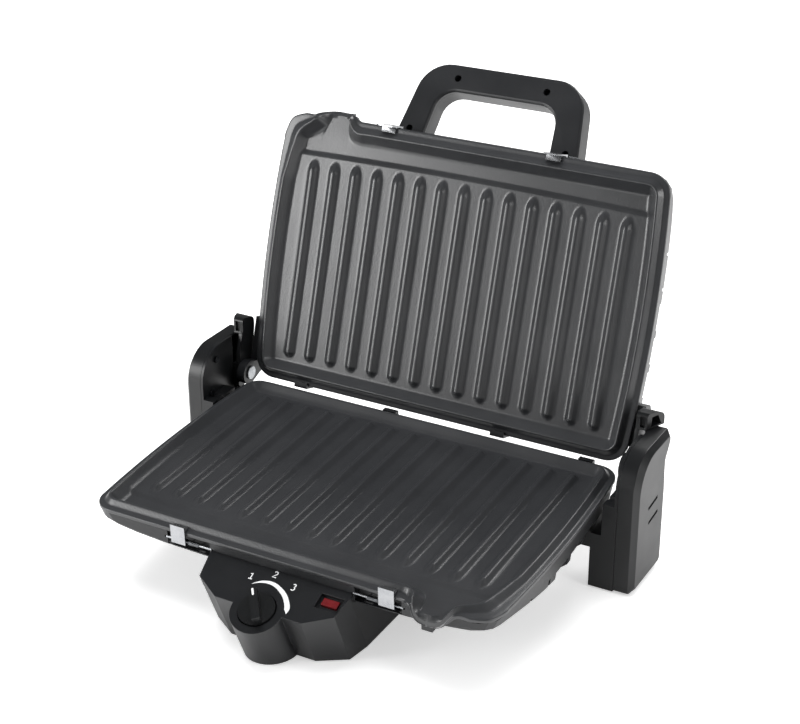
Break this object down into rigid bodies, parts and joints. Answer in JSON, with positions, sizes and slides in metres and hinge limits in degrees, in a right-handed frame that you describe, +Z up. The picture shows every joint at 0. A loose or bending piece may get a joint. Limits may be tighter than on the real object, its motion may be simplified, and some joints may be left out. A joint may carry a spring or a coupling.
{
  "type": "electric indoor grill with lid",
  "caption": "Countertop contact grill, lid open on a floating hinge, ribbed plates with spouts, latches, side posts, U handle and a control box with knob and lamp.",
  "frame": {"origin": "on the table top, midway between the posts, under the middle of the lower cooking plate (bottom of the middle rubber foot)", "axes": "+Z up, +X to the user's right, +Y to the back; the knob and handle side faces -Y"},
  "size_m": [0.3984, 0.4143, 0.3281],
  "materials": {
    "plate_coating": "satin non-stick coating",
    "housing_plastic": "satin",
    "pan_steel": "mill finish",
    "element_steel": "oxidised",
    "zinc_steel": "zinc plated",
    "latch_steel": "polished",
    "spring_steel": "bright",
    "post_plastic": "satin",
    "dark_screw": "dark",
    "foot_rubber": "matt",
    "handle_plastic": "satin",
    "box_plastic": "satin",
    "ceramic": "matt",
    "brass_shaft": "satin",
    "knob_plastic": "satin",
    "lens_red": "clear red",
    "cutout_steel": "satin"
  },
  "bodies": {
    "base": {"lower_plate": "plate_coating", "lower_housing": "housing_plastic", "lower_reflector": "pan_steel", "lower_element": "element_steel", "lower_element_clamps": "zinc_steel", "lower_reflector_screws": "zinc_steel", "lower_latch_pins": "spring_steel", "lower_latch_springs": "spring_steel", "post_cover_left": "post_plastic", "post_cover_right": "post_plastic", "foot_box_left": "post_plastic", "foot_box_right": "post_plastic", "post_screws": "dark_screw", "deck_screws": "zinc_steel", "rubber_feet": "foot_rubber", "control_box": "box_plastic", "control_box_base": "box_plastic", "control_box_screws": "zinc_steel", "thermostat": "ceramic", "lamp_lens": "lens_red", "lamp_body": "ceramic", "thermal_cutout": "cutout_steel", "cord_bushing": "foot_rubber"},
    "lift": {"lift_bar_left": "post_plastic", "lift_bar_right": "post_plastic", "hinge_pins": "spring_steel"},
    "lid": {"upper_plate": "plate_coating", "upper_housing": "housing_plastic", "upper_reflector": "pan_steel", "upper_element": "element_steel", "upper_element_clamps": "zinc_steel", "upper_reflector_screws": "zinc_steel", "upper_latch_pins": "spring_steel", "upper_latch_springs": "spring_steel", "handle_front": "handle_plastic", "handle_back": "handle_plastic", "handle_screws": "dark_screw", "handle_bolts": "zinc_steel"},
    "knob": {"knob": "knob_plastic", "thermostat_shaft": "brass_shaft"},
    "latch_lower_left": {"latch_lower_left": "latch_steel"},
    "latch_lower_right": {"latch_lower_right": "latch_steel"},
    "latch_upper_left": {"latch_upper_left": "latch_steel"},
    "latch_upper_right": {"latch_upper_right": "latch_steel"}
  },
  "joints": [
    {"name": "lid_float", "type": "slide", "parent": "base", "child": "lift", "axis": [0, 0, 1], "range_m": [0, 0.025]},
    {"name": "lid_hinge", "type": "hinge", "parent": "lift", "child": "lid", "pos_m": [0, 0.10918, 0.08077], "axis": [1, 0, 0], "range_deg": [0, 109.7]},
    {"name": "knob_turn", "type": "hinge", "parent": "base", "child": "knob", "pos_m": [0, -0.1409, 0.0438], "axis": [0, 0.3955, -0.9184], "range_deg": [0, 70]},
    {"name": "latch_lower_left_tip", "type": "hinge", "parent": "base", "child": "latch_lower_left", "pos_m": [-0.08615, -0.10851, 0.05755], "axis": [1, 0, 0], "range_deg": [0, 25], "stiffness_Nm_per_rad": 0.02, "springref_deg": -17.19},
    {"name": "latch_lower_right_tip", "type": "hinge", "parent": "base", "child": "latch_lower_right", "pos_m": [0.08615, -0.10851, 0.05755], "axis": [1, 0, 0], "range_deg": [0, 25], "stiffness_Nm_per_rad": 0.02, "springref_deg": -17.19},
    {"name": "latch_upper_left_tip", "type": "hinge", "parent": "lid", "child": "latch_upper_left", "pos_m": [-0.07135, 0.18688, 0.28544], "axis": [-1, 0, 0], "range_deg": [0, 25], "stiffness_Nm_per_rad": 0.02, "springref_deg": -17.19},
    {"name": "latch_upper_right_tip", "type": "hinge", "parent": "lid", "child": "latch_upper_right", "pos_m": [0.07135, 0.18688, 0.28544], "axis": [-1, 0, 0], "range_deg": [0, 25], "stiffness_Nm_per_rad": 0.02, "springref_deg": -17.19}
  ]
}
